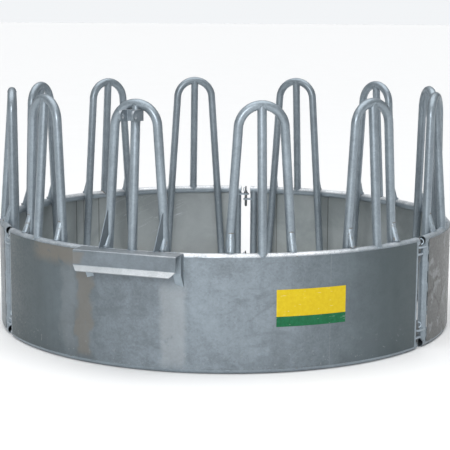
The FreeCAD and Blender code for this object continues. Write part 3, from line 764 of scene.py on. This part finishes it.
def pin_ring(name, body, pin, angle):
    """A wire pull ring that hangs from the pin's grip, turned out from the ring of the feeder."""
    low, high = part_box(pin)
    middle = (low + high) / 2
    facing = Place(angle)
    along = PIN_RING_RADIUS * math.cos(PIN_RING_DROP)
    drop = PIN_RING_RADIUS * math.sin(PIN_RING_DROP)
    bpy.ops.mesh.primitive_torus_add(major_radius=PIN_RING_RADIUS, minor_radius=PIN_RING_WIRE,
                                     major_segments=32, minor_segments=10)
    ring = bpy.context.object
    ring.name = name
    ring.location = Vector((middle.x, middle.y, high.z - PIN_EYE_DEPTH)) + facing.point(along, 0, -drop)
    ring.rotation_euler = facing.out.to_track_quat("Z", "Y").to_euler()
    for face in ring.data.polygons:
        face.use_smooth = True
    ring.data.materials.append(wire_steel)
    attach(ring, body)


for joint, angle in JOINTS.items():
    for level in ("top", "bottom"):
        pin_ring("%s_%s_pin_ring" % (joint, level), "%s_%s_pin" % (joint, level),
                 "%s_joint_pin_%s" % (joint, level), angle - PIN_RING_TURN)

# ---------------------------------------------------------------- floor, light and camera

FLOOR_SIZE = 600.0
FLOOR_PAINT = ((0.80, 0.80, 0.80, 1.0), (0.83, 0.83, 0.83, 1.0))
SKY_COLOUR = (0.96, 0.98, 1.0, 1.0)
OVERHEAD_SPREAD = math.radians(70)                # the angle that the overhead light fills


def floor():
    """A plain pale floor that reaches nearly to the horizon."""
    bpy.ops.mesh.primitive_plane_add(size=FLOOR_SIZE)
    plane = bpy.context.object
    plane.name = "floor"
    g = Graph("floor_paint")
    speck = g.noise(g.place(), 1.5, 4.0, 0.6)
    colour = g.mix(speck, *FLOOR_PAINT)
    plane.data.materials.append(
        g.finish(g.node("BsdfPrincipled", {"Base Color": colour, "Roughness": 0.9})))


def world_ramp(tree, value, low, high, to_low, to_high):
    """In the world's tree, value from low to high becomes to_low to to_high, smoothly."""
    made = tree.nodes.new("ShaderNodeMapRange")
    made.interpolation_type = "SMOOTHSTEP"
    for socket, number in zip(("From Min", "From Max", "To Min", "To Max"),
                              (low, high, to_low, to_high)):
        made.inputs[socket].default_value = number
    tree.links.new(value, made.inputs["Value"])
    return made.outputs["Result"]


def world_total(tree, first, second):
    made = tree.nodes.new("ShaderNodeMath")
    made.operation = "ADD"
    tree.links.new(first, made.inputs[0])
    tree.links.new(second, made.inputs[1])
    return made.outputs[0]


def sky():
    """A soft studio dome: bright overhead and behind the camera, dim low down at the sides."""
    world = bpy.data.worlds.new("studio")
    bpy.context.scene.world = world
    world.use_nodes = True
    tree = world.node_tree
    tree.nodes.clear()
    split = tree.nodes.new("ShaderNodeSeparateXYZ")
    tree.links.new(tree.nodes.new("ShaderNodeTexCoord").outputs["Generated"], split.inputs[0])
    overhead = world_ramp(tree, split.outputs["Z"], 0.3, 0.95, 0.13, 0.9)
    horizon = world_ramp(tree, split.outputs["Z"], 0.01, 0.06, 0.8, 0.0)
    front = world_ramp(tree, split.outputs["Y"], -1.0, -0.6, 0.35, 0.0)
    brightness = world_total(tree, world_total(tree, overhead, horizon), front)
    background = tree.nodes.new("ShaderNodeBackground")
    background.inputs["Color"].default_value = SKY_COLOUR
    tree.links.new(brightness, background.inputs["Strength"])
    out = tree.nodes.new("ShaderNodeOutputWorld")
    tree.links.new(background.outputs[0], out.inputs["Surface"])


def softbox(name, position, target, size, power):
    """A rectangular light that faces its target; size in metres, power in watts."""
    data = bpy.data.lights.new(name, "AREA")
    data.shape = "RECTANGLE"
    data.size, data.size_y = size
    data.energy = power
    lamp = bpy.data.objects.new(name, data)
    lamp.location = position
    lamp.rotation_euler = (Vector(target) - Vector(position)).to_track_quat("-Z", "Y").to_euler()
    bpy.context.scene.collection.objects.link(lamp)


def overhead_light(strength):
    """A broad even light from straight above, so that the floor is equally pale everywhere."""
    data = bpy.data.lights.new("overhead", "SUN")
    data.energy = strength
    data.angle = OVERHEAD_SPREAD
    lamp = bpy.data.objects.new("overhead", data)
    bpy.context.scene.collection.objects.link(lamp)


CAMERA_DISTANCE = 6.713                           # level, from the ring's axis
CAMERA_HEIGHT = 1.578
CAMERA_TURN = math.radians(6.39)                  # round the ring, towards its right
CAMERA_PITCH = 9.231                              # degrees below level
CAMERA_ROLL = math.radians(0.31)
CAMERA_LENS = 102.37                              # mm
SENSOR_WIDTH = 36.0                               # mm


def camera():
    """The photograph's view: from the front, a little to the right, at eye height."""
    data = bpy.data.cameras.new("camera")
    data.sensor_width = SENSOR_WIDTH
    data.lens = CAMERA_LENS
    view = bpy.data.objects.new("camera", data)
    view.location = (CAMERA_DISTANCE * math.sin(CAMERA_TURN),
                     -CAMERA_DISTANCE * math.cos(CAMERA_TURN), CAMERA_HEIGHT)
    tilt = Matrix.Rotation(math.radians(90 - CAMERA_PITCH), 4, "X")
    roll = Matrix.Rotation(CAMERA_ROLL, 4, "Z")
    view.rotation_euler = (Matrix.Rotation(CAMERA_TURN, 4, "Z") @ tilt @ roll).to_euler()
    bpy.context.scene.collection.objects.link(view)
    bpy.context.scene.camera = view


floor()
sky()
overhead_light(strength=2.0)
softbox("key", position=(-0.2, -8.0, 3.4), target=(0, 0, 0.4), size=(3.0, 2.4), power=300)
camera()

bpy.context.scene.view_settings.view_transform = "Standard"
